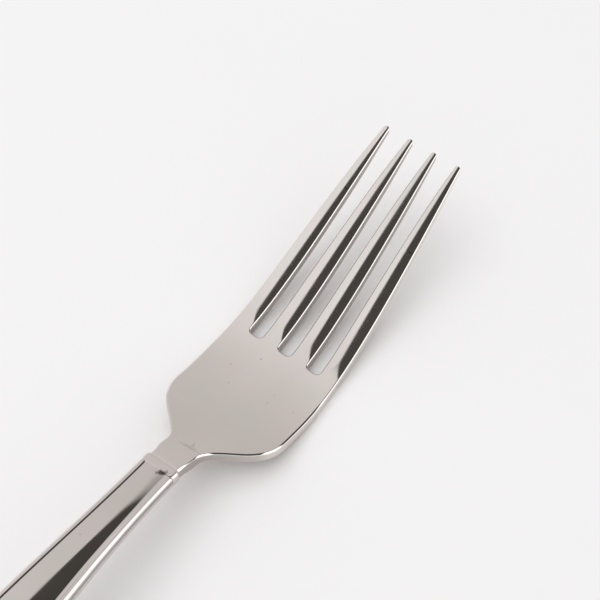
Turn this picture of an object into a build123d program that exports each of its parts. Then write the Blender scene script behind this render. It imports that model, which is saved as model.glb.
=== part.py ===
from build123d import *
import os

# A polished table fork with a stamped head set into a hollow handle. Millimetres.
# +X runs to the tine tips, +Y across, +Z up. The origin is on the table under the middle of the fork.
# Stations are measured along X from the front face of the collar: forward is plus, along the handle is minus.

# Lengths
overall_length = 205.0
head_length = 83.6
palm_length = 36.3
collar_length = 2.0
tang_length = 38.0
cement_cover = 3.0

# Head seen from above
neck_width = 6.65
neck_length = 5.1
neck_end_width = 7.25
neck_end_slope = 0.1
shoulder_station = 11.3
shoulder_width = 17.4
shoulder_slope = 1.12
palm_station = 19.2
palm_width = 25.6
waist_station = 27.6
waist_width = 25.7

# Tines seen from above
tine_count = 4
tine_pitch_root = 7.0
tine_pitch_tip = 5.7
tine_width_root = 3.86
tine_width_middle = 3.61
tine_width_taper = 2.12
tine_width_tip = 1.3
tine_middle_share = 0.4
tine_taper_share = 0.85
tine_middle_slope = -0.042
tine_taper_slope = -0.106
tine_tip_slope = -0.116
tip_nose = 0.45
slot_round = 1.3

# Head seen from the side: height of the upper face above the table, and thickness
neck_height = 14.3
neck_slope = -0.32
bend_station = 12.6
bend_height = 8.1
bend_slope = -0.50
heel_station = 33.2
curve_station = 51.9
curve_height = 7.0
curve_slope = 0.385
rise_station = 70.6
rise_height = 14.73
rise_slope = 0.412
tip_height = 19.7
tip_slope = 0.28
neck_thickness = 3.4
bend_thickness = 2.8
palm_thickness = 2.5
curve_thickness = 2.6
rise_thickness = 2.55
tip_thickness = 1.25

# Handle seen from above
mouth_width = 7.3
grip_station = -44.4
grip_width = 11.5
grip_flare = -0.066
butt_width = 19.2
butt_end_length = 18.0

# Handle seen from the side
mouth_height = 14.32
mouth_slope = -0.195
crest_station = -49.4
crest_height = 20.2
butt_slope = 0.02
mouth_thickness = 3.8
crest_thickness = 4.6
butt_thickness = 4.3
butt_flat_depth = 0.5
handle_edge_round = 0.6
handle_back_round = 1.3

# Handle panel: a raised rim, a valley inside it and a crowned panel
rim_width = 0.95
valley_width = 0.45
valley_depth = 0.45
panel_front_gap = 0.3
panel_arch_length = 0.5
crown_height = 0.1
crown_drop = 0.45

# Inside the handle
shell_wall = 0.7
tang_width = 3.6
tang_end_width = 2.6
tang_thickness = 1.2
tang_notch_radius = 0.5
tang_notch_count = 2
seam_solder_width = 0.5
seam_solder_height = 1.2
solder_start = 3.0

# Collar
collar_width = 7.4
collar_proud = 0.08
collar_round = 0.3
tang_clearance = 0.05

# Construction margins: how far a cutting solid stands clear, and how far a side law runs on past the fork
reach = 60.0
run_on = 4.0

collar_x = overall_length / 2 - head_length
handle_length = overall_length - head_length
butt_station = -handle_length
root_station = palm_length + slot_round
tine_length = head_length - tip_nose - root_station
butt_end_station = butt_station + butt_end_length
ELLIPSE_PULL = 0.5523


def plan_point(station, half_width):
    return (collar_x + station, half_width, 0)


def side_point(station, height):
    return (collar_x + station, 0, height)


def law_edges(knots, point):
    """Smooth edges through knots of station, value and slope."""
    edges = []
    for (s0, v0, m0), (s1, v1, m1) in zip(knots, knots[1:]):
        third = (s1 - s0) / 3
        handles = point(s0 + third, v0 + m0 * third), point(s1 - third, v1 - m1 * third)
        edges.append(Bezier(point(s0, v0), *handles, point(s1, v1)))
    return edges


def law_value(knots, station):
    """Value of a law at one station."""
    for (s0, v0, m0), (s1, v1, m1) in zip(knots, knots[1:]):
        if min(s0, s1) <= station <= max(s0, s1):
            break
    span = s1 - s0
    t = (station - s0) / span
    start = (2 * t**3 - 3 * t**2 + 1) * v0 + (t**3 - 2 * t**2 + t) * span * m0
    end = (3 * t**2 - 2 * t**3) * v1 + (t**3 - t**2) * span * m1
    return start + end


def shifted(knots, amount):
    return [(s, v + amount, m) for s, v, m in knots]


def mirrored(knots):
    return [(s, -v, -m) for s, v, m in knots]


def between(upper, lower, share):
    """The law that lies a given share of the way from a lower law up to an upper one."""
    return [(s, b + share * (a - b), n + share * (m - n)) for (s, a, m), (_, b, n) in zip(upper, lower)]


def upright(edges):
    """A plan outline drawn out upwards past the fork's top and bottom."""
    return extrude(Pos(0, 0, -reach) * Face(Wire(edges)), 2 * reach)


def slab(upper, lower):
    """All that lies between two side laws, right across the fork."""
    last_s = upper[-1][0]
    first_s = upper[0][0]
    edges = law_edges(upper, side_point)
    edges.append(Line(side_point(last_s, upper[-1][1]), side_point(last_s, lower[-1][1])))
    edges += law_edges(lower[::-1], side_point)
    edges.append(Line(side_point(first_s, lower[0][1]), side_point(first_s, upper[0][1])))
    return extrude(Pos(0, -reach, 0) * Face(Wire(edges)), amount=2 * reach, dir=(0, 1, 0))


def block(front, back, half_width):
    """A plain box plan between two stations, drawn out upwards."""
    corners = [plan_point(front, half_width), plan_point(back, half_width)]
    corners += [plan_point(back, -half_width), plan_point(front, -half_width)]
    return upright(Polyline(*corners, close=True).edges())


def long_edges(solid, least_length):
    return solid.edges().filter_by(lambda edge: edge.bounding_box().size.X > least_length)


def run_past(knots):
    """A side law with its end knots moved straight on, so that the plan outline alone ends the piece."""
    first_s, first_v, first_m = knots[0]
    last_s, last_v, last_m = knots[-1]
    step = run_on if first_s > last_s else -run_on
    before = (first_s + step, first_v + step * first_m, first_m)
    after = (last_s - step, last_v - step * last_m, last_m)
    return [before, *knots[1:-1], after]


# Side laws of the handle
handle_top = run_past([
    (0, mouth_height, mouth_slope),
    (crest_station, crest_height, 0),
    (butt_station, butt_thickness - butt_flat_depth, butt_slope),
])
handle_bottom = run_past([
    (0, mouth_height - mouth_thickness, mouth_slope),
    (crest_station, crest_height - crest_thickness, 0),
    (butt_station, -butt_flat_depth, butt_slope),
])
seam_law = between(handle_top, handle_bottom, 0.5)
valley_law = shifted(handle_top, -valley_depth)
void_roof = shifted(valley_law, -shell_wall)
void_floor = shifted(handle_bottom, shell_wall)
tang_law = between(void_roof, void_floor, 0.5)


def handle_sides(inset):
    """Half width of the handle along its length, moved in by an even amount."""
    return [
        (-collar_length, mouth_width / 2 - inset, 0),
        (grip_station, grip_width / 2 - inset, grip_flare),
        (butt_end_station, butt_width / 2 - inset, 0),
    ]


def handle_outline(inset):
    """Handle plan outline, moved in by an even amount at the sides and at the butt."""
    sides = handle_sides(inset)
    edges = law_edges(sides, plan_point)
    edges += butt_edges(butt_width / 2 - inset, inset)
    edges += law_edges(mirrored(sides)[::-1], plan_point)
    mouth = mouth_width / 2 - inset
    edges.append(Line(plan_point(-collar_length, -mouth), plan_point(-collar_length, mouth)))
    return edges


def butt_edges(half_width, inset):
    """The round end of a handle outline, as two quarter ovals."""
    tip = butt_station + inset
    length = butt_end_station - tip
    pull_s = butt_end_station - ELLIPSE_PULL * length
    pull_w = ELLIPSE_PULL * half_width
    left = [(butt_end_station, half_width), (pull_s, half_width), (tip, pull_w), (tip, 0)]
    right = [(s, -w) for s, w in left[::-1]]
    return [Bezier(*[plan_point(s, w) for s, w in quarter]) for quarter in (left, right)]


def panel_outline(inset):
    """Panel plan outline: as the handle's, with an arched front end."""
    front = -collar_length - panel_front_gap - inset
    arch = front - panel_arch_length
    arch_half = law_value(handle_sides(rim_width + inset), arch)
    sides = [(arch, arch_half, 0)] + handle_sides(rim_width + inset)[1:]
    edges = law_edges(sides, plan_point)
    edges += butt_edges(butt_width / 2 - rim_width - inset, rim_width + inset)
    edges += law_edges(mirrored(sides)[::-1], plan_point)
    arch_points = [plan_point(arch, -arch_half), plan_point(front, 0), plan_point(arch, arch_half)]
    edges.append(ThreePointArc(*arch_points))
    return edges


def above_seam(edge):
    middle = edge @ 0.5
    return middle.Z > law_value(seam_law, middle.X - collar_x)


def below_seam(edge):
    return not above_seam(edge)


def handle_body():
    """The closed outer form of the handle, with rounded edges and the flat that it rests on."""
    body = upright(handle_outline(0)) & slab(handle_top, handle_bottom)
    body = fillet(long_edges(body, butt_end_length / 2).filter_by(above_seam), handle_edge_round)
    body = fillet(long_edges(body, butt_end_length / 2).filter_by(below_seam), handle_back_round)
    table = Pos(collar_x + butt_station, 0, -reach) * Box(2 * reach, 2 * reach, 2 * reach)
    return body - table


def handle_void():
    """The hollow inside the two shells, open at the mouth."""
    return upright(handle_outline(shell_wall)) & slab(void_roof, void_floor)


def crowned_panel():
    """The convex panel that stands in the recess, rooted in the shell wall below it."""
    stations = [-collar_length, grip_station / 2, grip_station, butt_end_station / 2 + grip_station / 2]
    stations += [butt_end_station, butt_station - run_on / 2]
    half = butt_width / 2
    sections = []
    for station in stations:
        rim = law_value(handle_top, station)
        local = law_value(handle_sides(rim_width), max(station, butt_end_station))
        drop = crown_drop * (half / local) ** 2
        crown = rim + crown_height
        x = collar_x + station
        arc = ThreePointArc((x, half, crown - drop), (x, 0, crown), (x, -half, crown - drop))
        foot = crown - reach
        corners = [(x, -half, crown - drop), (x, -half, foot), (x, half, foot), (x, half, crown - drop)]
        sections.append(Face(Wire([arc, *Polyline(*corners).edges()])))
    rooted = slab(shifted(handle_top, reach), between(valley_law, void_roof, 0.5))
    return loft(sections) & rooted & upright(panel_outline(valley_width))


def tine_half_width():
    """Half width of a tine along its length, from the slot root to the tip."""
    return [
        (root_station, tine_width_root / 2, 0),
        (root_station + tine_middle_share * tine_length, tine_width_middle / 2, tine_middle_slope / 2),
        (root_station + tine_taper_share * tine_length, tine_width_taper / 2, tine_taper_slope / 2),
        (head_length - tip_nose, tine_width_tip / 2, tine_tip_slope / 2),
    ]


def tine_side(index, side):
    """One long side of a tine: side is 1 on its left and -1 on its right."""
    place = (tine_count - 1) / 2 - index
    converge = (tine_pitch_tip - tine_pitch_root) / tine_length
    knots = []
    for station, half, slope in tine_half_width():
        pitch = tine_pitch_root + converge * (station - root_station)
        knots.append((station, place * pitch + side * half, place * converge + side * slope))
    return knots


def head_outline():
    """Plan outline of the neck, palm and tines."""
    outer = tine_side(0, 1)[0]
    flank = [
        (0, neck_width / 2, 0),
        (neck_length, neck_end_width / 2, neck_end_slope),
        (shoulder_station, shoulder_width / 2, shoulder_slope),
        (palm_station, palm_width / 2, 0),
        (waist_station, waist_width / 2, 0),
        outer,
    ]
    edges = law_edges(mirrored(flank), plan_point)
    for index in reversed(range(tine_count)):
        right = tine_side(index, -1)
        left = tine_side(index, 1)
        edges += law_edges(right, plan_point)
        middle = (right[-1][1] + left[-1][1]) / 2
        tip = [plan_point(*right[-1][:2]), plan_point(head_length, middle), plan_point(*left[-1][:2])]
        edges.append(ThreePointArc(*tip))
        edges += law_edges(left[::-1], plan_point)
        if index > 0:
            beside = tine_side(index - 1, -1)[0]
            bottom = plan_point(palm_length, (left[0][1] + beside[1]) / 2)
            edges.append(ThreePointArc(plan_point(*left[0][:2]), bottom, plan_point(*beside[:2])))
    edges += law_edges(flank[::-1], plan_point)
    edges.append(Line(plan_point(0, neck_width / 2), plan_point(0, -neck_width / 2)))
    return edges


def head_slab():
    """Side form of the head: it touches the table under the heel of the palm."""
    upper = [
        (0, neck_height, neck_slope),
        (bend_station, bend_height, bend_slope),
        (heel_station, palm_thickness, 0),
        (curve_station, curve_height, curve_slope),
        (rise_station, rise_height, rise_slope),
        (head_length, tip_height, tip_slope),
    ]
    thickness = [neck_thickness, bend_thickness, palm_thickness]
    thickness += [curve_thickness, rise_thickness, tip_thickness]
    lower = [(s, v - t, m) for (s, v, m), t in zip(upper, thickness)]
    return slab(run_past(upper), run_past(lower))


def tang_body(clearance):
    """The tang, or with a clearance the slot that it passes through."""
    half = tang_width / 2 + clearance
    end_half = tang_end_width / 2 + clearance
    corners = [(0, half), (-tang_length, end_half), (-tang_length, -end_half), (0, -half)]
    plan = upright(Polyline(*[plan_point(s, w) for s, w in corners], close=True).edges())
    deep = tang_thickness / 2 + clearance
    return plan & slab(shifted(tang_law, deep), shifted(tang_law, -deep))


def notched_tang():
    """The tang with the side notches that key it into the cement."""
    tang = tang_body(0)
    for index in range(tang_notch_count):
        share = (index + 1) / (tang_notch_count + 1)
        edge = tang_width / 2 + share * (tang_end_width - tang_width) / 2
        for side in (-1, 1):
            at = Pos(*plan_point(-share * tang_length, side * edge))
            tang -= at * Cylinder(tang_notch_radius, 2 * reach)
    return tang


def fork_head():
    blade = upright(head_outline()) & head_slab()
    return blade + notched_tang()


def neck_ferrule():
    upper = shifted(handle_top, collar_proud)
    lower = shifted(handle_bottom, -collar_proud)
    band = block(0, -collar_length, collar_width / 2) & slab(upper, lower)
    band = fillet(band.edges(), collar_round)
    return band - tang_body(tang_clearance)


def seam_solder():
    """A fillet of solder round the inside of the seam."""
    ring = handle_void() - upright(handle_outline(shell_wall + seam_solder_width))
    half = seam_solder_height / 2
    ring = ring & slab(shifted(seam_law, half), shifted(seam_law, -half))
    return ring - block(0, -collar_length - solder_start, reach)


def tang_cement():
    """The compound round the tang, from the mouth to a little past the tang's end."""
    filled = handle_void() & block(0, -tang_length - cement_cover, reach)
    return filled - notched_tang() - seam_solder()


def handle_shells():
    shell = handle_body() - handle_void()
    above = slab(shifted(seam_law, reach), seam_law)
    front = shell & above
    back = shell - above
    recess = upright(panel_outline(0)) & slab(shifted(handle_top, reach), valley_law)
    return front - recess + crowned_panel(), back


front_shell, back_shell = handle_shells()
pieces = {
    "fork_head": fork_head(),
    "neck_ferrule": neck_ferrule(),
    "handle_front_shell": front_shell,
    "handle_back_shell": back_shell,
    "tang_cement": tang_cement(),
    "seam_solder": seam_solder(),
}

os.makedirs("parts", exist_ok=True)
for name, piece in pieces.items():
    export_step(piece, f"parts/{name}.step")
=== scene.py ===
import math
import bmesh
import bpy
import numpy as np
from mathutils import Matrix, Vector


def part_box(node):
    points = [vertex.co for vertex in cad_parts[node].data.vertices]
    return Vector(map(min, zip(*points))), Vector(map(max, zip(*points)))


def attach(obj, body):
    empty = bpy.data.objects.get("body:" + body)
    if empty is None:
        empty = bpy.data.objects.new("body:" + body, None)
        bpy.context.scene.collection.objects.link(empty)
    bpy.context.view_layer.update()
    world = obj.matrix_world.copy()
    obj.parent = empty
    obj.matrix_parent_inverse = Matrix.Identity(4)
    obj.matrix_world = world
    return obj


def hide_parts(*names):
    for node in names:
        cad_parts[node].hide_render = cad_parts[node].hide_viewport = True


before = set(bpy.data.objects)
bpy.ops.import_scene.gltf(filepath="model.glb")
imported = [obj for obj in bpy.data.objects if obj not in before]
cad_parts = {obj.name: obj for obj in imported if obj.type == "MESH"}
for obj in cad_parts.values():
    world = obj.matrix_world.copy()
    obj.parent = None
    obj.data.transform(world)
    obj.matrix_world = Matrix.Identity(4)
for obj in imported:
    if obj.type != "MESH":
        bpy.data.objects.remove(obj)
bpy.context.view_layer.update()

# A polished table fork on a white surface. Sizes are in millimetres, as in the solids, and meshes in metres.
# Stations run along X from the front face of the collar: forward is plus, along the handle is minus.
MM = 0.001

# Least length that anything is divided by
tiny = 1e-6

# Lengths and widths that the solids give
collar_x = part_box("neck_ferrule")[1].x / MM
collar_length = collar_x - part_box("neck_ferrule")[0].x / MM
collar_width = 2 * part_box("neck_ferrule")[1].y / MM
head_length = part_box("fork_head")[1].x / MM - collar_x
handle_length = collar_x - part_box("handle_back_shell")[0].x / MM
butt_width = 2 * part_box("handle_back_shell")[1].y / MM
waist_width = 2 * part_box("fork_head")[1].y / MM
tang_length = collar_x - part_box("fork_head")[0].x / MM

# Head seen from above
palm_length = 36.3
slot_round = 1.3
slot_squareness = 0.72
root_station = palm_length + slot_round
tip_nose = 0.45
tine_count = 4
outer_tine = (tine_count - 1) / 2
pitch_root = 7.0
pitch_tip = 5.7
root_half = 1.93
tip_half = 0.65
tine_length = head_length - tip_nose - root_station
converge = (pitch_tip - pitch_root) / tine_length
tine_half = [
    (root_station, root_half, 0),
    (root_station + 0.4 * tine_length, 1.805, -0.021),
    (root_station + 0.85 * tine_length, 1.06, -0.053),
    (root_station + tine_length, tip_half, -0.058),
]
flank = [
    (0, 3.325, 0),
    (5.1, 3.625, 0.1),
    (11.3, 8.7, 1.12),
    (19.2, 12.8, 0),
    (27.6, waist_width / 2, 0),
    (root_station, outer_tine * pitch_root + root_half, outer_tine * converge),
]

# Head seen from the side: place, height and slope of the upper face, and the thickness under it
head_knots = {
    "Neck": (0, 14.3, -0.32, 3.4),
    "Bend": (12.6, 8.1, -0.50, 2.8),
    "Heel": (33.2, 2.5, 0, 2.5),
    "Curve": (51.9, 7.0, 0.385, 2.6),
    "Rise": (70.6, 14.73, 0.412, 2.55),
    "Tip": (head_length, 19.7, 0.28, 1.25),
}

# Handle seen from the side, with knots like the head's, and from above
butt_flat_depth = 0.5
handle_knots = {
    "Mouth": (0, 14.32, -0.195, 3.8),
    "Crest": (-49.4, 20.2, 0, 4.6),
    "Butt": (-handle_length, 4.3 - butt_flat_depth, 0.02, 4.3),
}
butt_end_length = 18.0
butt_end = butt_end_length - handle_length
spine_back = butt_end - butt_end_length / 2
mouth_station = -collar_length
handle_half = [
    (mouth_station, 3.65, 0),
    (-44.4, 5.75, -0.066),
    (butt_end, butt_width / 2, 0),
]

# How far the side laws run straight on past the ends of a piece
run_on = 4.0

# Bevelled edges of the head: width, fall and last turn along the neck and palm
tine_bevel = 0.19
tip_bevel_share = 0.4
tine_bevel_share = 0.27
bevel_width = [
    (1.4, 0.42, 0),
    (2.4, 0.15, 0),
    (4.0, 0.15, 0),
    (5.2, 0.36, 0),
    (14.0, 0.38, 0),
    (29.6, 0.4, 0),
    (35.0, tine_bevel, 0),
]
bevel_fall = [
    (1.4, 0.42, 0),
    (2.4, 0.11, 0),
    (4.0, 0.11, 0),
    (5.2, 0.36, 0),
    (6.8, 0.36, 0),
    (8.4, 0.18, 0),
    (14.0, 0.18, 0),
    (15.6, 0.36, 0),
    (17.6, 0.36, 0),
    (19.6, 0.2, 0),
    (30.0, 0.2, 0),
    (35.0, tine_bevel, 0),
]
bevel_end = [(17.4, 0.06, 0), (19.4, 0.16, 0), (29.6, 0.16, 0), (35.0, 0.06, 0)]

# Painted shade on the walls along the neck and on the handle and collar: dark, dull wall colour from 0 for
# polished to 1 for as dark as a stamped wall, standing in for the shadowed table that these walls mirror
neck_wall_shade = [(4.0, 0.92, 0), (16.0, 0.5, 0)]
handle_wall_shade = 0.4

# Turns at both ends of a bevel, rows that keep a face flat, and the tuck at the back of the neck
edge_turn = 0.06
turn_steps = 3
support = 0.1
back_tuck = 0.3

# Crown of the tines
tine_tilt = 0.10
tine_crown_run = 3.5
tine_crown_power = 1.5

# Handle section
handle_bevel = [(mouth_station, 0.42, 0), (-40.0, 0.52, 0)]
back_round = 1.3
rim_width = 0.9
rim_blend = 0.03
rim_release = 0.2
groove_edge = 1.25
groove_depth = 0.08
groove_slope = 0.3
groove_blend = 0.04
panel_sink = 0.02
groove_steep = 0.32
right_groove_steep = 0.9
left_wall_blend = 0.06
right_wall_blend = 0.40
panel_tilt = [
    (mouth_station, 0.062, 0),
    (-5.0, 0.066, 0),
    (-14.0, 0.118, 0),
    (-40.0, 0.110, 0),
    (-80.0, 0, 0),
]
panel_ridge = [(-3.0, 0.7, 0), (-11.0, -0.6, 0), (-35.0, 0.3, -0.03), (-60.0, 0.6, 0)]
ridge_half = [(-4.0, 2.0, 0), (-18.0, 1.3, 0)]
panel_bow = 0.010
mouth_step = 0.25
valley_depth = 0.45
shell_wall = 0.7
void_middle = -valley_depth / 2

# Tang and collar
tang_half = 1.8
tang_end_half = 1.3
tang_thickness = 1.2
tang_notch_radius = 0.5
tang_notches = 2
tang_clearance = 0.05
collar_proud = 0.02
collar_round = 0.55
collar_top_share = 0.1
collar_bevel = 0.4
collar_tilt = 0.03

# Wear of edges, from 0 for none to 1 on the bevels
wall_wear = 0.2
soft_wear = 0.3


def law_at(knots, station):
    """Value of a smooth law through knots of station, value and slope, held level past its ends."""
    station = np.asarray(station, float)
    value = np.full(station.shape, float(knots[0][1]))
    for (s0, v0, m0), (s1, v1, m1) in zip(knots, knots[1:]):
        span = s1 - s0
        rise = v1 - v0
        t = np.clip((station - s0) / span, 0, 1)
        cube = span * (m0 + m1) - 2 * rise
        square = 3 * rise - span * (2 * m0 + m1)
        value = value + t * (m0 * span + t * (square + t * cube))
    return value


def slope_at(knots, station):
    """Slope of a law at a station."""
    step = 0.01
    return (law_at(knots, station + step) - law_at(knots, station - step)) / (2 * step)


def run_past(knots):
    """Side knots with the two end ones moved straight on, past the ends of the piece."""
    names = list(knots)
    first_s, first_v, first_m, first_t = knots[names[0]]
    last_s, last_v, last_m, last_t = knots[names[-1]]
    step = run_on if first_s > last_s else -run_on
    moved = dict(knots)
    moved[names[0]] = (first_s + step, first_v + step * first_m, first_m, first_t)
    moved[names[-1]] = (last_s - step, last_v - step * last_m, last_m, last_t)
    return moved


class Blank:
    """A flat pattern of a piece, before it is pressed to its side laws.

    Each point has a place on the plan, a level (0 on the upper face, 1 on the lower), a lift from that
    level, an edge value for its wear, and a cut value for the dark, dull colour of a wall: 1 on the stamped
    walls between the tines, and painted shade on the walls of the neck, collar and handle."""

    def __init__(self):
        self.points = []
        self.level = []
        self.lift = []
        self.edge = []
        self.cut = []
        self.tine = []
        self.faces = []

    def add(self, x, y, level, lift, edge=0.0, cut=0.0, tine=False):
        """Puts in a block of points of any shape and returns their numbers in that shape."""
        x, y, level, lift, edge, cut = np.broadcast_arrays(x, y, level, lift, edge, cut)
        start = len(self.points)
        self.points += [((collar_x + a) * MM, b * MM, 0.0) for a, b in zip(x.ravel(), y.ravel())]
        self.level += list(level.ravel())
        self.lift += list(lift.ravel() * MM)
        self.edge += list(edge.ravel())
        self.cut += list(cut.ravel())
        self.tine += [tine] * x.size
        return np.arange(start, start + x.size).reshape(x.shape)

    def sheet(self, numbers, closed=False):
        """Joins a grid of points with quads, which face the side where columns, then rows, turn left."""
        following = np.roll(numbers, -1, axis=1) if closed else numbers[:, 1:]
        here = numbers if closed else numbers[:, :-1]
        quads = np.stack([here[:-1], following[:-1], following[1:], here[1:]], -1)
        self.faces += [tuple(map(int, quad)) for quad in quads.reshape(-1, 4)]

    def mesh(self, name):
        """The blank as a mesh that keeps these values on its points."""
        mesh = bpy.data.meshes.new(name)
        mesh.from_pydata(self.points, [], self.faces)
        for title in ("level", "lift", "edge", "cut"):
            values = np.array(getattr(self, title), np.float32)
            mesh.attributes.new(title, "FLOAT", "POINT").data.foreach_set("value", values)
        mesh.attributes.new("tine", "BOOLEAN", "POINT").data.foreach_set("value", self.tine)
        return mesh


# Blank of the head

tine_columns = 16
tine_rows = 64
nose_rows = 8
slot_points = 15
palm_rows = 44
tang_rows = 115

# Power that gathers the rows at the roots of the tines and at the handle's mouth
gather = 1.25


def bevel(width, fall, lead=0.0, end=edge_turn):
    """Outward and downward steps of a bevelled edge: a quick turn onto the bevel and one onto the wall."""
    t = np.linspace(0, 1, turn_steps + 1)
    length = np.hypot(width, fall)
    along = width / length
    down = fall / length
    first_out = 2 * t * (1 - t) * edge_turn + t**2 * edge_turn * (1 + along)
    first_lift = (1 - t) ** 2 * lead - t**2 * edge_turn * down
    last_out = edge_turn + width - (1 - t) ** 2 * end * along
    last_lift = -fall + (1 - t) ** 2 * end * down - t**2 * end
    return np.concatenate([first_out, last_out], -1), np.concatenate([first_lift, last_lift], -1)


def edge_strip(width, fall, top_lift=0.0, lead=0.0, end=edge_turn):
    """Columns down one edge, from the upper face to the lower: outward step, level, lift and edge value."""
    out, lift = bevel(width, fall, lead, end)
    low_out, low_lift = bevel(width, fall, 0.0, end)
    wall = out[..., -1:]
    upper = top_lift + lift
    out = np.concatenate([out, wall, wall, low_out[..., ::-1]], -1)
    lower = -low_lift[..., ::-1]
    wall_ends = [upper[..., -1:] - support, lower[..., :1] + support]
    lift = np.concatenate([upper, *wall_ends, lower], -1)
    columns = 2 * (turn_steps + 1) + 1
    level = np.repeat([0.0, 1.0], columns)
    worn = np.append(np.sin(np.linspace(0, math.pi, columns - 1)), 0)
    return out, level, lift, np.concatenate([worn, worn[::-1]])


def wall_columns(count):
    """1 on the columns of an edge that bound its wall, 0 on the others."""
    wall = np.zeros(count)
    wall[count // 2 - 1:count // 2 + 1] = 1
    return wall


def tine_edge(half):
    """Width of a tine's bevel, which narrows with the tine."""
    return np.minimum(tine_bevel, tine_bevel_share * half)


def tine_crown(station, half, across):
    """Fall of a tine's upper face away from its middle: flat at the root, then crowned."""
    run = np.clip((station - root_station) / tine_crown_run, 0, 1)
    flat = (1 - run) ** tine_crown_power
    past = np.maximum(np.abs(across) - flat * half, 0)
    return -tine_tilt / 2 * past**2 / (half * (1 - flat) + tiny)


def tine_columns_across(edge_start):
    """Places across a tine's upper face from its left edge to its right one."""
    inner = edge_start - support * np.minimum(1, edge_start)
    share = np.linspace(1, -1, tine_columns + 1)
    return np.concatenate([edge_start, inner * share, -edge_start], -1)


def add_tine(blank):
    """One tine on its own middle line, open at the root and closed at the tip."""
    station = root_station + tine_length * np.linspace(0, 1, tine_rows) ** gather
    half = law_at(tine_half, station)
    slope = slope_at(tine_half, station)
    slope[0] = 0
    bow = (tip_half**2 + tip_nose**2) / (2 * tip_nose)
    nose = math.asin(tip_half / bow) * np.linspace(1, 0, nose_rows)[1:]
    out_x = np.concatenate([-slope / np.hypot(slope, 1), np.cos(nose)])[:, None]
    out_y = np.concatenate([1 / np.hypot(slope, 1), np.sin(nose)])[:, None]
    rim_x = np.concatenate([station, head_length - bow + bow * np.cos(nose)])[:, None]
    rim_y = np.concatenate([half, bow * np.sin(nose)])[:, None]
    shape_half = np.concatenate([half, np.full(nose.shape, tip_half)])[:, None]
    blunt = np.concatenate([0 * half, np.linspace(0, 1, nose_rows)[1:]])[:, None]
    width = tine_edge(shape_half) * (1 - (1 - tip_bevel_share) * blunt)
    start_in = width + edge_turn
    edge_x = rim_x - start_in * out_x
    edge_y = np.maximum(rim_y - start_in * out_y, 0)
    corner = tine_crown(rim_x, shape_half, shape_half - width)
    edge_lift = tine_crown(rim_x, shape_half, shape_half - start_in)
    out, level, lift, edge = edge_strip(width, width, corner, edge_lift - corner)
    across = tine_columns_across(edge_y)
    fade = np.where(edge_y > 0, 1.0, 0.0)
    shape_across = across * fade * (shape_half - start_in) / np.maximum(edge_y, tiny)
    crown = tine_crown(rim_x, shape_half, shape_across) * fade + edge_lift * (1 - fade)
    side_x = edge_x + out * out_x
    side_y = edge_y + out * out_y
    top_x = edge_x + 0 * across
    low_x = top_x[:, 1:]
    none = 0 * across
    level = level + 0 * side_x
    edge = edge + 0 * side_x
    back = slice(-2, 0, -1)
    x = np.concatenate([top_x, side_x[:, 1:], low_x, side_x[:, back]], 1)
    y = np.concatenate([across, -side_y[:, 1:], -across[:, 1:], side_y[:, back]], 1)
    all_level = np.concatenate([none, level[:, 1:], none[:, 1:] + 1, level[:, back]], 1)
    all_lift = np.concatenate([crown, lift[:, 1:], none[:, 1:], lift[:, back]], 1)
    all_edge = np.concatenate([none, edge[:, 1:], none[:, 1:], edge[:, back]], 1)
    wall = wall_columns(level.shape[1]) + 0 * side_x
    all_cut = np.concatenate([none, wall[:, 1:], none[:, 1:], wall[:, back]], 1)
    blank.sheet(blank.add(x, y, all_level, all_lift, all_edge, all_cut, tine=True), closed=True)


def slot_arc(place):
    """Bottom of one slot, from its right end to its left: points on its edge and the way into the palm."""
    gap = pitch_root / 2 - root_half
    turn = np.radians(np.linspace(180, 0, slot_points))
    bow_x = -slot_round * np.abs(np.sin(turn)) ** slot_squareness
    bow_y = gap * np.sign(np.cos(turn)) * np.abs(np.cos(turn)) ** slot_squareness
    x = root_station + bow_x
    y = place * pitch_root + bow_y
    tan_x = np.gradient(x)
    tan_y = np.gradient(y)
    size = np.hypot(tan_x, tan_y)
    in_x = -tan_y / size
    in_y = tan_x / size
    in_x[[0, -1]] = 0
    in_y[0] = -1
    in_y[-1] = 1
    return x, y, in_x, in_y


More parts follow.
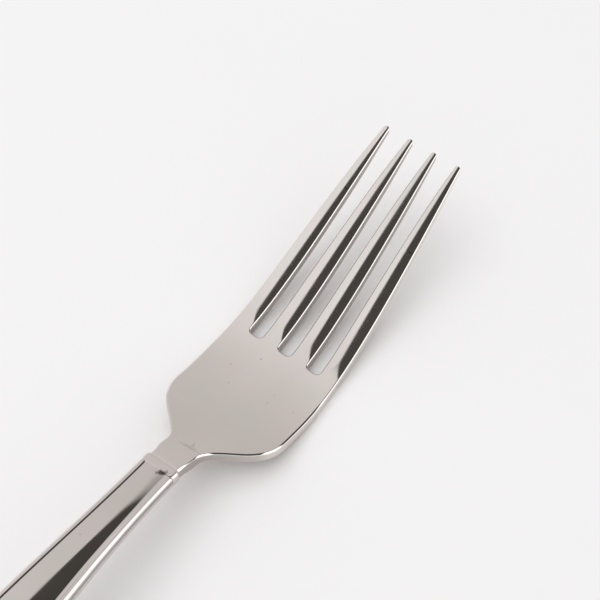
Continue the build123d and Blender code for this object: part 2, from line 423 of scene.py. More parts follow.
def add_palm(blank):
    """Neck and palm, open at the front where the tines join, with the rounded bottoms of the slots."""
    plain_start = 1.0
    blend_start = 33.6
    near = np.array([0.3, 0.55, 0.78, 0.94, 1.0])
    tuck_rows = np.array([0.0, 0.3, 0.6, 1.0]) * back_tuck
    plain = np.linspace(plain_start, blend_start, palm_rows)
    blend = blend_start + (root_station - blend_start) * near
    station = np.concatenate([tuck_rows, plain, blend])
    blend_share = np.clip((station - blend_start) / (root_station - blend_start), 0, 1)
    depth = np.clip(1 - station / back_tuck, 0, 1)
    tuck = back_tuck * (1 - np.sqrt(1 - depth**2))
    half = law_at(flank, station) - tuck
    slope = slope_at(flank, station) * (1 - blend_share) * (station > back_tuck)
    out_x = -slope / np.hypot(slope, 1)
    out_y = 1 / np.hypot(slope, 1)
    width = law_at(bevel_width, station)
    start_in = width + edge_turn
    edge_x = station - start_in * out_x
    edge_y = half - start_in * out_y
    before = edge_x[blend_share == 0][-1]
    edge_x = np.where(blend_share > 0, before + blend_share * (root_station - before), edge_x)

    front_x = []
    front_y = []
    slot_in = tine_bevel + edge_turn
    row = tine_columns_across(np.array([root_half - slot_in]))
    for index in range(tine_count):
        place = outer_tine - index
        front_x += [root_station] * len(row)
        front_y += list(place * pitch_root + row)
        if index < tine_count - 1:
            x, y, in_x, in_y = slot_arc(place - 0.5)
            front_x += list((x + slot_in * in_x)[::-1][1:-1])
            front_y += list((y + slot_in * in_y)[::-1][1:-1])
    front_x = np.array(front_x)
    share = np.array(front_y) / edge_y[-1]
    grid_y = edge_y[:, None] * share
    ahead = before + blend_share[:, None] * (front_x - before)
    grid_x = np.where(blend_share[:, None] > 0, ahead, edge_x[:, None])
    top_tuck = np.broadcast_to(-tuck[:, None], grid_x.shape)
    top = blank.add(grid_x, grid_y, 0.0, top_tuck)
    low = blank.add(grid_x, grid_y, 1.0, -top_tuck)
    blank.sheet(top)
    blank.sheet(low[:, ::-1])

    fall = law_at(bevel_fall, station)[:, None]
    end = law_at(bevel_end, station)[:, None]
    out, level, lift, edge = edge_strip(width[:, None], fall, end=end)
    lift = lift - tuck[:, None] * np.where(level == 0, 1, -1)
    strip_x = edge_x[:, None] + out * out_x[:, None]
    strip_y = edge_y[:, None] + out * out_y[:, None]
    # Painted shade: the neck's walls darken where they mirror the shadowed table under the neck
    cut = law_at(neck_wall_shade, station)[:, None] * wall_columns(len(level))
    right = blank.add(strip_x, -strip_y, level, lift, edge, cut)
    left = blank.add(strip_x, strip_y, level, lift, edge, cut)
    blank.sheet(right)
    blank.sheet(left[:, ::-1])
    for first, second, third, fourth in zip(top[0], low[0], low[0][1:], top[0][1:]):
        blank.faces.append((int(first), int(second), int(third), int(fourth)))
    blank.faces.append(tuple(map(int, left[0])))
    blank.faces.append(tuple(map(int, right[0][::-1])))

    slot_bevel = np.full((slot_points, 1), tine_bevel)
    out, level, lift, edge = edge_strip(slot_bevel, slot_bevel)
    for index in range(tine_count - 1):
        x, y, in_x, in_y = slot_arc(outer_tine - 0.5 - index)
        back = slot_in - out
        slot_x = x[:, None] + back * in_x[:, None]
        slot_y = y[:, None] + back * in_y[:, None]
        slot = blank.add(slot_x, slot_y, level, lift, edge, wall_columns(len(level)))
        blank.sheet(slot)


def tang_blank():
    """The tang behind the collar's front face, with its side notches: pressed with the handle's laws."""
    blank = Blank()
    station = np.linspace(0, -tang_length, tang_rows)
    half = tang_half + (tang_end_half - tang_half) * station / -tang_length
    for index in range(tang_notches):
        centre = -(index + 1) / (tang_notches + 1) * tang_length
        bite = np.sqrt(np.maximum(tang_notch_radius**2 - (station - centre) ** 2, 0))
        half = half - bite
    side = np.array([1, -1, -1, 1])
    rise = np.array([1, 1, -1, -1]) * tang_thickness / 2 + void_middle
    numbers = blank.add(station[:, None], half[:, None] * side, 0.5, rise + 0 * half[:, None])
    blank.sheet(numbers[:, ::-1], closed=True)
    blank.faces.append(tuple(map(int, numbers[0])))
    blank.faces.append(tuple(map(int, numbers[-1][::-1])))
    return blank


# Blanks of the handle

side_points = 150
butt_points = 16
mouth_points = 25
back_rows = 9

# Rows of the shells' skins: insets from the outline, and shares of the way to the spine
turn_insets = (0.0, 0.01, 0.03, edge_turn)
bevel_insets = (-0.2, -0.05, -0.02, 0.0, 0.02, 0.05)
groove_insets = (0.83, 0.87, 0.9, 0.93, 1.0, 1.07, 1.14, 1.21, 1.28, 1.36, 1.46, 1.6, 1.8, 2.05)
panel_shares = (0.14, 0.28, 0.42, 0.56, 0.7, 0.85, 1.0)
back_shares = (1.0, 0.7, 0.4, 0.15, 0.0)
panel_back = 1.0

collar_columns = 13
collar_end_rows = 6
collar_low_points = 8


def even(amount):
    """The same inset all along the handle."""
    return lambda station: amount + 0 * station


def beside_bevel(amount):
    """An inset that follows the inner line of the bevel."""
    return lambda station: law_at(handle_bevel, station) + amount


def whole_loop(left, front, sign):
    """A closed loop: down the left side to the end of the butt, back up the right, and across the front."""
    return np.concatenate([left, sign * left[-2::-1], front])


def side_stations(start):
    """Stations from the front to the start of the butt's round end, closer together at the front."""
    share = np.linspace(0, 1, side_points) ** gather
    return start + share * (butt_end - start)


def outer_loop(inset, step=mouth_step):
    """Outline of the handle, moved in: stations, places across, and distances in from the outline."""
    start = mouth_station - step * float(inset(np.array(mouth_station)))
    station = side_stations(start)
    moved = inset(station)
    turn = np.radians(np.linspace(0, 90, butt_points + 1))[1:]
    half = law_at(handle_half, station) - moved
    left_x = np.concatenate([station, butt_end - (butt_end_length - moved[-1]) * np.sin(turn)])
    left_y = np.concatenate([half, (butt_width / 2 - moved[-1]) * np.cos(turn)])
    left_in = np.concatenate([moved, np.full(butt_points, moved[-1])])
    front_y = half[0] * np.linspace(-1, 1, mouth_points)
    front_in = half[0] + moved[0] - np.abs(front_y)
    x = whole_loop(left_x, start + 0 * front_y, 1)
    return x, whole_loop(left_y, front_y, -1), whole_loop(left_in, front_in, 1)


def spine_loop(front, back):
    """The loop drawn in to the middle line of the handle."""
    station = np.minimum(side_stations(mouth_station), front)
    left_x = np.maximum(np.concatenate([station, np.full(butt_points, back)]), back)
    x = whole_loop(left_x, np.full(mouth_points, front), 1)
    return x, 0 * x, law_at(handle_half, np.maximum(x, butt_end))


def add_rings(blank, rings):
    """Joins closed loops of equal length, each with its level, lift, edge and cut values, into one skin."""
    numbers = []
    for loop, level, lift, edge, cut in rings:
        numbers.append(blank.add(loop[0], loop[1], level, lift, edge, cut))
    blank.sheet(np.array(numbers), closed=True)


def drawn_in(loop, spine, share):
    """A loop moved a share of the way to the spine."""
    return tuple(a + (b - a) * share for a, b in zip(loop, spine))


def soft_least(first, second, blend):
    """The lower of two heights, rounded off where they meet."""
    near = np.maximum(blend - np.abs(first - second), 0)
    return np.minimum(first, second) - near**2 / (4 * blend)


def upper_lift(loop):
    """Height of the front face from its side law: bevel, rim, groove wall and a panel with a low ridge."""
    station, across, inward = loop
    corner = np.clip(1 - inward / edge_turn, 0, 1)
    rim = soft_least(0.0, inward - law_at(handle_bevel, station), rim_blend)
    rim = rim - edge_turn * (1 - np.sqrt(1 - corner**2))
    half = law_at(handle_half, np.maximum(station, butt_end)) - groove_edge
    ridge = law_at(panel_ridge, station)
    soft = law_at(ridge_half, station)
    turn = np.clip((ridge + soft - across) / (2 * soft), 0, 1)
    fall = 2 * soft * (turn**3 - turn**4 / 2) + np.maximum(ridge - soft - across, 0)
    panel = panel_bow / 2 * (half**2 - across**2) - panel_sink - law_at(panel_tilt, station) * fall
    past = inward - groove_edge
    panel = soft_least(panel, groove_slope * past - groove_depth, groove_blend)
    right = np.clip(0.5 - across / half, 0, 1)
    wall = (groove_steep + (right_groove_steep - groove_steep) * right) * (rim_width - inward)
    wall_blend = left_wall_blend + (right_wall_blend - left_wall_blend) * right
    sunk = -soft_least(-panel, -wall, wall_blend)
    return soft_least(rim + np.clip(past - rim_release, 0, 1), sunk, rim_blend)


def lower_lift(loop):
    """Height of the back's rounded edge from its side law."""
    left = np.clip(back_round - loop[2], 0, back_round)
    return back_round - np.sqrt(back_round**2 - left**2)


def seam_rings(face_level, void_lift):
    """Rings of the void's wall and of the seam, from the void's roof or floor to the outer wall.

    Across the open mouth there is no seam, and the rings stay on the void's edge."""
    inner = outer_loop(even(shell_wall), 0)
    outer = outer_loop(even(0), 0)
    mouth = np.zeros(len(inner[0]), bool)
    mouth[-mouth_points:] = True
    edge = tuple(np.where(mouth, a, b) for a, b in zip(inner, outer))
    level = np.where(mouth, face_level, 0.5)
    lift = np.where(mouth, void_lift, 0.0)
    rings = [(inner, face_level, void_lift, 0.0, 0.0), (inner, level, lift, 0.0, 0.0)]
    # The outer seam ring carries painted shade on the handle's wall
    return rings + [(edge, level, lift, soft_wear, handle_wall_shade)]


def front_shell_blank():
    """Upper half shell: void, seam, wall, bevel, rim, groove and crowned panel."""
    roof = -(valley_depth + shell_wall)
    rings = [(spine_loop(mouth_station, spine_back), 0.0, roof, 0.0, 0.0)]
    rings += seam_rings(0.0, roof)
    loops = [outer_loop(even(amount)) for amount in turn_insets]
    loops += [outer_loop(beside_bevel(amount)) for amount in bevel_insets]
    worn = [wall_wear] + [1.0] * (len(loops) - 2) + [soft_wear]
    loops += [outer_loop(even(amount)) for amount in groove_insets]
    spine = spine_loop(mouth_station - panel_back, spine_back)
    loops += [drawn_in(loops[-1], spine, share) for share in panel_shares]
    worn += [0.0] * (len(loops) - len(worn))
    # Painted shade on the outer ring of the handle's wall
    cut = [handle_wall_shade] + [0.0] * (len(loops) - 1)
    rings += [(loop, 0.0, upper_lift(loop), *shares) for loop, *shares in zip(loops, worn, cut)]
    blank = Blank()
    add_rings(blank, rings)
    return blank


def back_shell_blank():
    """Lower half shell: plain underside, rounded edge, wall, seam and void."""
    spine = spine_loop(mouth_station, spine_back)
    inner = outer_loop(even(back_round + support))
    loops = [drawn_in(inner, spine, share) for share in back_shares]
    # Painted shade grows round the back's edge towards the wall
    cut = [0.0] * len(loops)
    for share in np.linspace(0, 1, back_rows):
        loops.append(outer_loop(even(back_round * (1 - math.sin(share * math.pi / 2)))))
        cut.append(handle_wall_shade * share)
    rings = [(loop, 1.0, lower_lift(loop), soft_wear, wall) for loop, wall in zip(loops, cut)]
    rings += seam_rings(1.0, shell_wall)[::-1]
    rings.append((spine, 1.0, shell_wall, 0.0, 0.0))
    blank = Blank()
    add_rings(blank, rings)
    return blank


def collar_loop(inset):
    """Loop round the collar, moved in, from its top left: places across, levels, lifts and cut values, which
    paint shade on its lower sides.
    """
    half = collar_width / 2 - inset
    flat = half - collar_bevel - edge_turn
    share = np.linspace(1, -1, collar_columns)
    proud = collar_proud - collar_top_share * inset
    top = proud - collar_tilt / 2 * flat * share**2
    out, down = bevel(collar_bevel, collar_bevel, collar_tilt * edge_turn)
    side = (flat + out)[1:]
    fall = (top[0] - collar_tilt * edge_turn + down)[1:]
    angle = np.radians(np.linspace(90, 0, collar_low_points))
    low_side = half - back_round * (1 - np.sin(angle))
    low_rise = back_round * (1 - np.cos(angle)) - proud
    floor = low_side[-1] * share[1:-1]
    y = np.concatenate([flat * share, -side, -low_side, -floor, low_side[::-1], side[::-1]])
    level = np.concatenate([0 * top, 0 * fall, 0 * angle + 1, 0 * floor + 1, 0 * angle + 1, 0 * fall])
    lift = np.concatenate([top, fall, low_rise, 0 * floor - proud, low_rise[::-1], fall[::-1]])
    # Painted shade on the collar's lower rounded sides
    wall = handle_wall_shade * np.sin(angle)
    cut = np.concatenate([0 * top, 0 * fall, wall, 0 * floor, wall[::-1], 0 * fall])
    return y, level, lift, cut


def ferrule_blank():
    """The collar: a rounded band with the tang's slot through it."""
    blank = Blank()
    turn = np.radians(np.linspace(0, 90, collar_end_rows))
    ends = [(collar_round * (1 - math.cos(a)), collar_round * (1 - math.sin(a))) for a in turn]
    rows = [(mouth_station + along, inset) for along, inset in ends]
    rows += [(-along, inset) for along, inset in ends[::-1]]
    side_count = 2 * turn_steps + 1 + collar_low_points
    rise = np.linspace(1, -1, side_count + 2)[1:-1]
    top = np.linspace(1, -1, collar_columns)
    slot_half = tang_half + tang_clearance
    slot_deep = tang_thickness / 2 + tang_clearance
    slot_y = slot_half * np.concatenate([top, 0 * rise - 1, -top[1:-1], 0 * rise + 1])
    slot_z = slot_deep * np.concatenate([0 * top + 1, rise, 0 * top[1:-1] - 1, -rise]) + void_middle
    numbers = [blank.add(mouth_station, slot_y, 0.5, slot_z)]
    for station, inset in rows:
        y, level, lift, cut = collar_loop(inset)
        numbers.append(blank.add(station, y, level, lift, soft_wear, cut))
    numbers.append(blank.add(0.0, slot_y, 0.5, slot_z))
    numbers = np.array(numbers)
    blank.sheet(numbers, closed=True)
    blank.sheet(numbers[[-1, 0]], closed=True)
    return blank


# Node trees that press a blank to its side laws

weld_reach = 0.002


def node(tree, kind, inputs=None, **settings):
    """A node with its settings, and each input wired to a socket or set to a value."""
    made = tree.nodes.new(kind)
    for key, value in settings.items():
        setattr(made, key, value)
    for key, value in (inputs or {}).items():
        if isinstance(value, bpy.types.NodeSocket):
            tree.links.new(value, made.inputs[key])
        else:
            made.inputs[key].default_value = value
    return made


def calc(tree, operation, *values):
    """One arithmetic node, with sockets or plain numbers, and its result."""
    return node(tree, "ShaderNodeMath", dict(enumerate(values)), operation=operation).outputs[0]


def new_group(name, inputs, outputs):
    """An empty geometry node group with named sockets, and its two end nodes."""
    tree = bpy.data.node_groups.new(name, "GeometryNodeTree")
    for title, kind in inputs:
        tree.interface.new_socket(title, in_out="INPUT", socket_type="NodeSocket" + kind)
    for title, kind in outputs:
        tree.interface.new_socket(title, in_out="OUTPUT", socket_type="NodeSocket" + kind)
    return tree, tree.nodes.new("NodeGroupInput").outputs, tree.nodes.new("NodeGroupOutput").inputs


def law_span_group():
    """Group: how far a smooth law rises across one span between two knots, held level past its ends."""
    titles = ["Place", "From", "To", "Start", "End", "Start slope", "End slope"]
    tree, given, result = new_group("law_span", [(t, "Float") for t in titles], [("Rise", "Float")])
    span = calc(tree, "SUBTRACT", given["To"], given["From"])
    gone = calc(tree, "SUBTRACT", given["Place"], given["From"])
    share = node(tree, "ShaderNodeMath", {0: gone, 1: span}, operation="DIVIDE", use_clamp=True).outputs[0]
    rise = calc(tree, "SUBTRACT", given["End"], given["Start"])
    slopes = calc(tree, "ADD", given["Start slope"], given["End slope"])
    cube = calc(tree, "MULTIPLY_ADD", rise, -2.0, calc(tree, "MULTIPLY", span, slopes))
    lean = calc(tree, "ADD", slopes, given["Start slope"])
    square = calc(tree, "SUBTRACT", calc(tree, "MULTIPLY", rise, 3.0), calc(tree, "MULTIPLY", span, lean))
    inner = calc(tree, "MULTIPLY_ADD", share, cube, square)
    straight = calc(tree, "MULTIPLY", given["Start slope"], span)
    outer = calc(tree, "MULTIPLY_ADD", share, inner, straight)
    tree.links.new(calc(tree, "MULTIPLY", share, outer), result["Rise"])
    return tree


law_span = law_span_group()


def law_nodes(tree, given, place, names, quantity, with_slope):
    """Sum of spans that gives one law at a place, from the tree's named inputs."""
    total = given[f"{names[0]} {quantity}"]
    for first, second in zip(names, names[1:]):
        span = node(tree, "GeometryNodeGroup", node_tree=law_span)
        wires = {"Place": place, "From": given[f"{first} place"], "To": given[f"{second} place"]}
        wires["Start"] = given[f"{first} {quantity}"]
        wires["End"] = given[f"{second} {quantity}"]
        if with_slope:
            wires["Start slope"] = given[f"{first} slope"]
            wires["End slope"] = given[f"{second} slope"]
        for title, socket in wires.items():
            tree.links.new(socket, span.inputs[title])
        total = calc(tree, "ADD", total, span.outputs[0])
    return total


def knot_inputs(names):
    """Named sockets for a set of side knots."""
    parts = ("place", "height", "slope", "thickness")
    return [(f"{name} {part}", "Float") for name in names for part in parts]


def attribute(tree, name, kind="FLOAT"):
    """A value that the blank keeps on its points."""
    named = node(tree, "GeometryNodeInputNamedAttribute", {"Name": name}, data_type=kind)
    return named.outputs["Attribute"]


def pressed(tree, given, geometry, names):
    """Raises every point of a blank to its level between the upper and lower laws, plus its lift."""
    place = node(tree, "ShaderNodeSeparateXYZ", {0: node(tree, "GeometryNodeInputPosition").outputs[0]})
    upper = law_nodes(tree, given, place.outputs["X"], names, "height", True)
    thickness = law_nodes(tree, given, place.outputs["X"], names, "thickness", False)
    sunk = calc(tree, "MULTIPLY", attribute(tree, "level"), thickness)
    height = calc(tree, "ADD", calc(tree, "SUBTRACT", upper, sunk), attribute(tree, "lift"))
    on_table = calc(tree, "MAXIMUM", height, 0.0)
    shift = node(tree, "ShaderNodeCombineXYZ", {"Z": on_table}).outputs[0]
    raised = node(tree, "GeometryNodeSetPosition", {"Geometry": geometry, "Offset": shift})
    weld = node(tree, "GeometryNodeMergeByDistance", {0: raised.outputs[0], "Distance": weld_reach * MM})
    smooth = node(tree, "GeometryNodeSetShadeSmooth", {0: weld.outputs[0]})
    return smooth.outputs[0]


def close_tree(tree, given, result, geometry):
    """Ends a tree with real geometry in the piece's material."""
    real = node(tree, "GeometryNodeRealizeInstances", {0: geometry})
    coated = node(tree, "GeometryNodeSetMaterial", {0: real.outputs[0], "Material": given["Material"]})
    tree.links.new(coated.outputs[0], result["Geometry"])


def head_tree(names):
    """Repeats the one tine of the blank across the palm, draws the tines together and presses the head."""
    sizes = [("Tine count", "Int"), ("Root place", "Float"), ("Root pitch", "Float"), ("Converge", "Float")]
    inputs = [("Geometry", "Geometry"), ("Material", "Material"), *sizes, *knot_inputs(names)]
    tree, given, result = new_group("stamped_head", inputs, [("Geometry", "Geometry")])
    marked = attribute(tree, "tine", "BOOLEAN")
    parts = node(tree, "GeometryNodeSeparateGeometry", {0: given["Geometry"], 1: marked})
    row = node(tree, "GeometryNodeMeshLine", {"Count": given["Tine count"], "Offset": (0.0, 0.0, 0.0)})
    repeat = {"Points": row.outputs[0], "Instance": parts.outputs[0]}
    tines = node(tree, "GeometryNodeInstanceOnPoints", repeat)
    number = node(tree, "GeometryNodeInputIndex").outputs[0]
    last = calc(tree, "SUBTRACT", given["Tine count"], 1.0)
    place = calc(tree, "MULTIPLY_ADD", last, 0.5, calc(tree, "MULTIPLY", number, -1.0))
    named = {0: tines.outputs[0], "Name": "place", "Value": place}
    numbered = node(tree, "GeometryNodeStoreNamedAttribute", named, data_type="FLOAT", domain="INSTANCE")
    loose = node(tree, "GeometryNodeRealizeInstances", {0: numbered.outputs[0]})
    spot = node(tree, "ShaderNodeSeparateXYZ", {0: node(tree, "GeometryNodeInputPosition").outputs[0]})
    run = calc(tree, "SUBTRACT", spot.outputs["X"], given["Root place"])
    pitch = calc(tree, "MULTIPLY_ADD", run, given["Converge"], given["Root pitch"])
    aside = calc(tree, "MULTIPLY", pitch, attribute(tree, "place"))
    shift = node(tree, "ShaderNodeCombineXYZ", {"Y": aside}).outputs[0]
    spread = node(tree, "GeometryNodeSetPosition", {"Geometry": loose.outputs[0], "Offset": shift})
    whole = node(tree, "GeometryNodeJoinGeometry")
    tree.links.new(parts.outputs[1], whole.inputs[0])
    tree.links.new(spread.outputs[0], whole.inputs[0])
    close_tree(tree, given, result, pressed(tree, given, whole.outputs[0], names))
    return tree


def handle_tree(names):
    """Presses a blank to the handle's side laws."""
    inputs = [("Geometry", "Geometry"), ("Material", "Material"), *knot_inputs(names)]
    tree, given, result = new_group("pressed_handle", inputs, [("Geometry", "Geometry")])
    close_tree(tree, given, result, pressed(tree, given, given["Geometry"], names))
    return tree


def knot_sizes(knots):
    """The modifier's values for a set of side knots, in metres."""
    sizes = {}
    for name, (station, height, slope, thickness) in run_past(knots).items():
        sizes[f"{name} place"] = (collar_x + station) * MM
        sizes[f"{name} height"] = height * MM
        sizes[f"{name} slope"] = slope
        sizes[f"{name} thickness"] = thickness * MM
    return sizes


def press(name, blank, tree, sizes, material):
    """Runs a blank through a tree and keeps the result as a plain mesh object."""
    piece = bpy.data.objects.new(name, blank.mesh(name + "_blank"))
    bpy.context.scene.collection.objects.link(piece)
    modifier = piece.modifiers.new("press", "NODES")
    modifier.node_group = tree
    values = dict(sizes, Material=material)
    for item in tree.interface.items_tree:
        if item.in_out == "INPUT" and item.name in values:
            modifier[item.identifier] = values[item.name]
    graph = bpy.context.evaluated_depsgraph_get()
    flat = piece.data
    piece.data = bpy.data.meshes.new_from_object(piece.evaluated_get(graph), depsgraph=graph)
    piece.modifiers.remove(modifier)
    bpy.data.meshes.remove(flat)
    piece.data.name = name
    piece.data.materials.clear()
    piece.data.materials.append(material)
    piece.data.polygons.foreach_set("material_index", [0] * len(piece.data.polygons))
    return piece


def join_into(piece, other):
    """Adds another piece's mesh to this one and removes the other."""
    joined = bmesh.new()
    joined.from_mesh(piece.data)
    joined.from_mesh(other.data)
    joined.to_mesh(piece.data)
    joined.free()
    bpy.data.objects.remove(other)


# Materials


def new_material(name):
    """A plain material, its nodes and its shader."""
    material = bpy.data.materials.new(name)
    material.use_nodes = True
    tree = material.node_tree
    shader = tree.nodes["Principled BSDF"]
    return material, tree, shader


def noise(tree, scale, detail=3.0, stretch=(1, 1, 1), turn=0.0, roughness=0.5):
    """Noise on Object coordinates, stretched and turned on the plan. Scale is in cycles a metre."""
    where = node(tree, "ShaderNodeTexCoord").outputs["Object"]
    mapping = node(tree, "ShaderNodeMapping", {0: where, "Rotation": (0, 0, turn), "Scale": stretch})
    wires = {"Vector": mapping.outputs[0], "Scale": scale, "Detail": detail, "Roughness": roughness}
    return node(tree, "ShaderNodeTexNoise", wires).outputs["Fac"]


def ranged(tree, value, low, high, out_low, out_high):
    """A value stretched from one range to another, without overshoot."""
    wires = {"Value": value, "From Min": low, "From Max": high, "To Min": out_low, "To Max": out_high}
    return node(tree, "ShaderNodeMapRange", wires, clamp=True).outputs[0]


def mixed(tree, share, first, second):
    """A blend of two colours by a share."""
    blend = node(tree, "ShaderNodeMix", {0: share}, data_type="RGBA")
    for index, value in ((6, first), (7, second)):
        if isinstance(value, bpy.types.NodeSocket):
            tree.links.new(value, blend.inputs[index])
        else:
            blend.inputs[index].default_value = (*value, 1)
    return blend.outputs[2]


def roughen(tree, shader, height, strength, depth):
    """Gives a finish small relief from a height."""
    bump = node(tree, "ShaderNodeBump", {"Height": height, "Strength": strength, "Distance": depth})
    tree.links.new(bump.outputs[0], shader.inputs["Normal"])


def dark_marks(tree, marks):
    """Strength of single marks: ragged ovals by station, place across, half sizes, turn and strength."""
    where = node(tree, "ShaderNodeTexCoord").outputs["Object"]
    ragged = ranged(tree, noise(tree, scale=2500), 0.3, 0.7, -0.3, 0.3)
    total = 0.0
    for station, across, long, wide, turn, strength in marks:
        wires = {0: where, "Location": ((collar_x + station) * MM, across * MM, 0)}
        wires["Rotation"] = (0, 0, math.radians(turn))
        wires["Scale"] = (long * MM, wide * MM, 1)
        oval = node(tree, "ShaderNodeMapping", wires, vector_type="TEXTURE")
        far = node(tree, "ShaderNodeVectorMath", {0: oval.outputs[0]}, operation="LENGTH").outputs["Value"]
        mark = ranged(tree, calc(tree, "ADD", far, ragged), 0.4, 1.0, strength, 0)
        total = calc(tree, "MAXIMUM", total, mark)
    return total


def cut_and_shaded_walls(tree):
    """Dark, dull colour of the walls as the blank keeps it: stamped walls between the tines and painted
    shade on the neck, collar and handle, but none on the outer sides of the palm and tines.
    """
    spot = node(tree, "ShaderNodeSeparateXYZ", {0: node(tree, "ShaderNodeTexCoord").outputs["Object"]})
    at_origin = outer_tine * (pitch_root - converge * (collar_x + root_station)) * MM
    outer_line = calc(tree, "MULTIPLY_ADD", spot.outputs["X"], outer_tine * converge, at_origin)
    past = calc(tree, "SUBTRACT", calc(tree, "ABSOLUTE", spot.outputs["Y"]), outer_line)
    fade = 0.6 * MM
    inside = ranged(tree, past, -fade, fade, 1, 0)
    dull = node(tree, "ShaderNodeAttribute", attribute_name="cut").outputs["Fac"]
    return calc(tree, "MULTIPLY", inside, dull)


# Steel: colours, shares of stain and of the dark wall colour for stamped walls and painted wall shade, and
# how much each trace of use roughens the polish
pink_steel = np.array((0.82, 0.735, 0.705))
grey_steel = np.array((0.785, 0.735, 0.685))
stained_steel = np.array((0.74, 0.675, 0.64))
cut_and_shaded_steel = (0.33, 0.30, 0.28)
# Brown of the dark marks: specks and smears on the head, and painted shade in the collar joint
mark_and_shade_brown = (0.16, 0.13, 0.12)
stain_share = 0.4
cut_and_shade_share = 0.85
polish = 0.05
smeared_polish = 0.10
cut_rough = 0.20
scratch_rough = 0.05
worn_rough = 0.05
scratch_turns = ((0.05, 2600), (0.9, 3100), (-0.75, 2900))
scratch_thin = (0.02, 1, 1)
scratch_depth = 0.01 * MM
scratch_strength = 0.03


def polished_steel(name, marks, painted_shade=1.0):
    """Mirror-polished steel: faint stains, finger smears, fine use scratches, single marks, worn edges, dull
    stamped walls, and painted shade: on the walls of the neck, collar and handle, in marks such as the
    collar joint, and over the whole piece where the shade factor is below one.
    """
    material, tree, shader = new_material(name)
    stain = ranged(tree, noise(tree, scale=70, detail=4), 0.42, 0.68, 0, 1)
    wiped = noise(tree, scale=160, detail=5, stretch=(1, 0.45, 1), turn=0.7, roughness=0.6)
    smear = ranged(tree, wiped, 0.5, 0.72, 0, 1)
    tint = ranged(tree, noise(tree, scale=85, detail=4), 0.36, 0.64, 0, 1)
    # Colours scaled by the shade factor: below one this is painted shade over the whole piece
    colour = mixed(tree, tint, pink_steel * painted_shade, grey_steel * painted_shade)
    colour = mixed(tree, calc(tree, "MULTIPLY", stain, stain_share), colour, stained_steel * painted_shade)
    mark = dark_marks(tree, marks)
    colour = mixed(tree, mark, colour, mark_and_shade_brown)
    # Dark wall colour: stamped walls between the tines, and painted shade on the neck, collar and handle
    # walls
    cut = cut_and_shaded_walls(tree)
    colour = mixed(tree, calc(tree, "MULTIPLY", cut, cut_and_shade_share), colour, cut_and_shaded_steel)
    tree.links.new(colour, shader.inputs["Base Color"])

    scratch = 0.0
    for turn, count in scratch_turns:
        hair = noise(tree, scale=count, detail=2, stretch=scratch_thin, turn=turn, roughness=0.4)
        scratch = calc(tree, "MAXIMUM", scratch, ranged(tree, hair, 0.66, 0.72, 0, 1))
    patches = ranged(tree, noise(tree, scale=130, detail=2), 0.45, 0.6, 0.15, 1)
    scratch = calc(tree, "MULTIPLY", scratch, patches)
    worn = node(tree, "ShaderNodeAttribute", attribute_name="edge").outputs["Fac"]
    rubbed = ranged(tree, noise(tree, scale=900, detail=4), 0.45, 0.65, 0, 1)
    worn = calc(tree, "MULTIPLY", worn, rubbed)
    rough = ranged(tree, calc(tree, "MAXIMUM", stain, smear), 0, 1, polish, smeared_polish)
    for trace, amount in ((cut, cut_rough), (scratch, scratch_rough), (worn, worn_rough)):
        rough = calc(tree, "MULTIPLY_ADD", trace, amount, rough)
    tree.links.new(rough, shader.inputs["Roughness"])
    relief = calc(tree, "MULTIPLY_ADD", scratch, -1.0, calc(tree, "MULTIPLY", mark, -1.0))
    roughen(tree, shader, relief, scratch_strength, scratch_depth)
    shader.inputs["Metallic"].default_value = 1.0
    return material


def setting_cement():
    """Matt grey compound with coarse grains and air pin-holes."""
    material, tree, shader = new_material("setting_cement")
    dark_grain = (0.40, 0.38, 0.34)
    pale_grain = (0.60, 0.57, 0.52)
    grain = noise(tree, scale=1500, detail=5)
    tree.links.new(mixed(tree, grain, dark_grain, pale_grain), shader.inputs["Base Color"])
    tree.links.new(ranged(tree, grain, 0.3, 0.7, 0.75, 0.95), shader.inputs["Roughness"])
    roughen(tree, shader, grain, strength=0.4, depth=0.1 * MM)
    return material


def silver_solder():
    """Dull solder as it flowed, with frosty and brighter patches."""
    material, tree, shader = new_material("silver_solder")
    frosty = (0.66, 0.62, 0.52)
    bright = (0.82, 0.80, 0.74)
    flow = noise(tree, scale=600, detail=4, stretch=(0.3, 1, 1))
    tree.links.new(mixed(tree, flow, frosty, bright), shader.inputs["Base Color"])
    tree.links.new(ranged(tree, flow, 0.3, 0.7, 0.3, 0.6), shader.inputs["Roughness"])
    roughen(tree, shader, flow, strength=0.3, depth=0.1 * MM)
    shader.inputs["Metallic"].default_value = 1.0
    return material


# Single marks: station, place across, half length, half width, turn in degrees and strength
head_marks = [
    (32.8, 2.8, 0.28, 0.28, 0, 0.32),
    (28.3, 6.7, 0.22, 0.22, 0, 0.28),
    (24.4, 4.3, 0.25, 0.25, 0, 0.22),
    (25.4, -4.3, 0.25, 0.25, 0, 0.22),
    (27.7, -4.2, 0.2, 0.2, 0, 0.22),
    (26.7, -9.5, 0.25, 0.25, 0, 0.20),
    (6.1, -0.9, 2.4, 0.5, 95, 0.22),
    (6.9, -1.2, 1.3, 0.4, 20, 0.16),
    (69.3, 8.6, 0.5, 0.2, 90, 0.6),
    (65.05, -9.96, 0.5, 0.2, 90, 0.5),
]
# Painted shade: a dark oval in the step where the handle's panel meets the back of the collar, standing in
# for the shade and dark reflection there
joint_painted_shade = (-2.1, -1.2, 1.5, 0.62, -56, 1.0)
panel_mark = (-21.0, 1.6, 0.3, 0.2, 0, 0.2)
# Painted shade: the collar and the handle shells use darker copies of the same steel, so that they mirror
# the room more dimly than the head
ferrule_painted_shade = 0.92
handle_painted_shade = 0.89
head_steel = polished_steel("head_steel", head_marks)
ferrule_steel = polished_steel("ferrule_steel", [joint_painted_shade], ferrule_painted_shade)
handle_steel = polished_steel("handle_steel", [joint_painted_shade, panel_mark], handle_painted_shade)

# Pieces

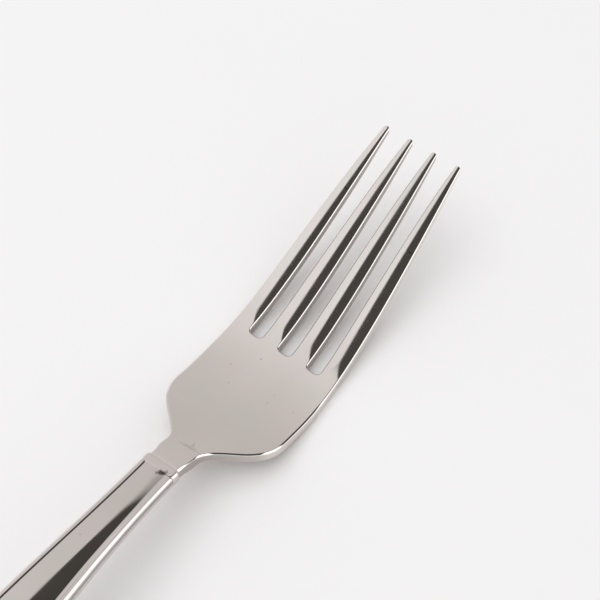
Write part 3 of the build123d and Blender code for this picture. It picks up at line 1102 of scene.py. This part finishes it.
head_sizes = {
    "Tine count": tine_count,
    "Root place": (collar_x + root_station) * MM,
    "Root pitch": pitch_root * MM,
    "Converge": converge,
    **knot_sizes(head_knots),
}
handle_sizes = knot_sizes(handle_knots)
stamped_head = head_tree(list(head_knots))
pressed_handle = handle_tree(list(handle_knots))

head_blank = Blank()
add_palm(head_blank)
add_tine(head_blank)
head = press("stamped_fork_head", head_blank, stamped_head, head_sizes, head_steel)
join_into(head, press("tang", tang_blank(), pressed_handle, handle_sizes, head_steel))
ferrule = press("collar_band", ferrule_blank(), pressed_handle, handle_sizes, ferrule_steel)
front_shell = press("front_half_shell", front_shell_blank(), pressed_handle, handle_sizes, handle_steel)
back_shell = press("back_half_shell", back_shell_blank(), pressed_handle, handle_sizes, handle_steel)

for piece, stands_for, slot in (
    (head, "fork_head", "head_steel"),
    (ferrule, "neck_ferrule", "ferrule_steel"),
    (front_shell, "handle_front_shell", "handle_steel"),
    (back_shell, "handle_back_shell", "handle_steel"),
):
    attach(piece, "root")
    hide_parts(stands_for)

for name, material in (("tang_cement", setting_cement()), ("seam_solder", silver_solder())):
    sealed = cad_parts[name].data
    sealed.materials.clear()
    sealed.materials.append(material)

# Floor, light and camera


def white_floor():
    """A wide white surface under the fork."""
    reach = 3.0
    corners = [(-reach, -reach, 0), (reach, -reach, 0), (reach, reach, 0), (-reach, reach, 0)]
    mesh = bpy.data.meshes.new("floor")
    mesh.from_pydata(corners, [], [(0, 1, 2, 3)])
    floor = bpy.data.objects.new("floor", mesh)
    bpy.context.scene.collection.objects.link(floor)
    material, tree, shader = new_material("white_floor")
    white = (0.90, 0.895, 0.905)
    fleck = (0.91, 0.905, 0.915)
    colour = mixed(tree, noise(tree, scale=25, detail=2), white, fleck)
    tree.links.new(colour, shader.inputs["Base Color"])
    shader.inputs["Roughness"].default_value = 0.9
    shader.inputs["Specular IOR Level"].default_value = 0.1
    mesh.materials.append(material)


def room_light():
    """A pale room, darker overhead and to the right, with a bright low window far on the right.

    The steel mirrors this room. Plain surfaces get its even light instead."""
    dark_side = (0.070, 0.067, 0.063)
    pale_near = (0.94, 0.97, 0.98)
    pale_far = (0.62, 0.61, 0.605)
    window = (1.50, 1.58, 1.62)
    low_wall = (0.90, 0.90, 0.90)
    even_light = (0.667, 0.660, 0.650)
    backdrop = (0.90, 0.90, 0.90)
    # The dark side turns to the pale one along a slanted line, more softly towards the tips
    slant = 0.15
    soft_from = 0.50
    soft_to = 0.62
    world = bpy.data.worlds.new("room")
    bpy.context.scene.world = world
    world.use_nodes = True
    tree = world.node_tree
    direction = node(tree, "ShaderNodeTexCoord").outputs["Generated"]
    parts = node(tree, "ShaderNodeSeparateXYZ", {0: direction})
    along = parts.outputs["X"]
    across = parts.outputs["Y"]
    dark_edge = ranged(tree, along, soft_from, soft_to, 0.260, 0.225)
    pale_edge = ranged(tree, along, soft_from, soft_to, 0.286, 0.315)
    left = ranged(tree, calc(tree, "MULTIPLY_ADD", along, slant, across), dark_edge, pale_edge, 0, 1)
    right = ranged(tree, across, -0.55, -0.65, 0, 1)
    right = calc(tree, "MULTIPLY", right, ranged(tree, along, -0.30, -0.55, 1.0, 0.3))
    low = ranged(tree, parts.outputs["Z"], 0.10, 0.0, 0, 1)
    pale = mixed(tree, ranged(tree, along, -0.4, 1.0, 0, 1), pale_near, pale_far)
    colour = mixed(tree, left, dark_side, pale)
    colour = mixed(tree, right, colour, window)
    colour = mixed(tree, low, colour, low_wall)
    path = node(tree, "ShaderNodeLightPath").outputs
    colour = mixed(tree, path["Is Glossy Ray"], even_light, colour)
    colour = mixed(tree, path["Is Camera Ray"], colour, backdrop)
    tree.links.new(colour, tree.nodes["Background"].inputs["Color"])


def soft_lamp(name, place, size, power):
    """A square soft lamp turned to the middle of the head, which the steel doesn't mirror."""
    lamp = bpy.data.lights.new(name, "AREA")
    lamp.size = size
    lamp.energy = power
    holder = bpy.data.objects.new(name, lamp)
    bpy.context.scene.collection.objects.link(holder)
    holder.location = place
    aim = Vector(((collar_x + palm_length) * MM, 0, 0)) - holder.location
    holder.rotation_euler = aim.to_track_quat("-Z", "Y").to_euler()
    holder.visible_glossy = False


def photo_camera():
    """Camera at the photograph's place: a narrow view from above the handle's right side."""
    place = Vector((-77.77, -101.45, 292.36)) * MM
    aim = Vector((65.56, 3.44, 5.90)) * MM
    view_angle = 20.0
    data = bpy.data.cameras.new("camera")
    data.sensor_width = 36.0
    data.lens = data.sensor_width / 2 / math.tan(math.radians(view_angle) / 2)
    data.clip_start = 0.01
    data.clip_end = 50.0
    camera = bpy.data.objects.new("camera", data)
    camera.location = place
    camera.rotation_euler = (aim - place).to_track_quat("-Z", "Y").to_euler()
    bpy.context.scene.collection.objects.link(camera)
    bpy.context.scene.camera = camera


white_floor()
room_light()
soft_lamp("overhead", place=(-0.197, 0.359, 1.747), size=1.6, power=14.2)
photo_camera()
bpy.context.scene.view_settings.view_transform = "Standard"
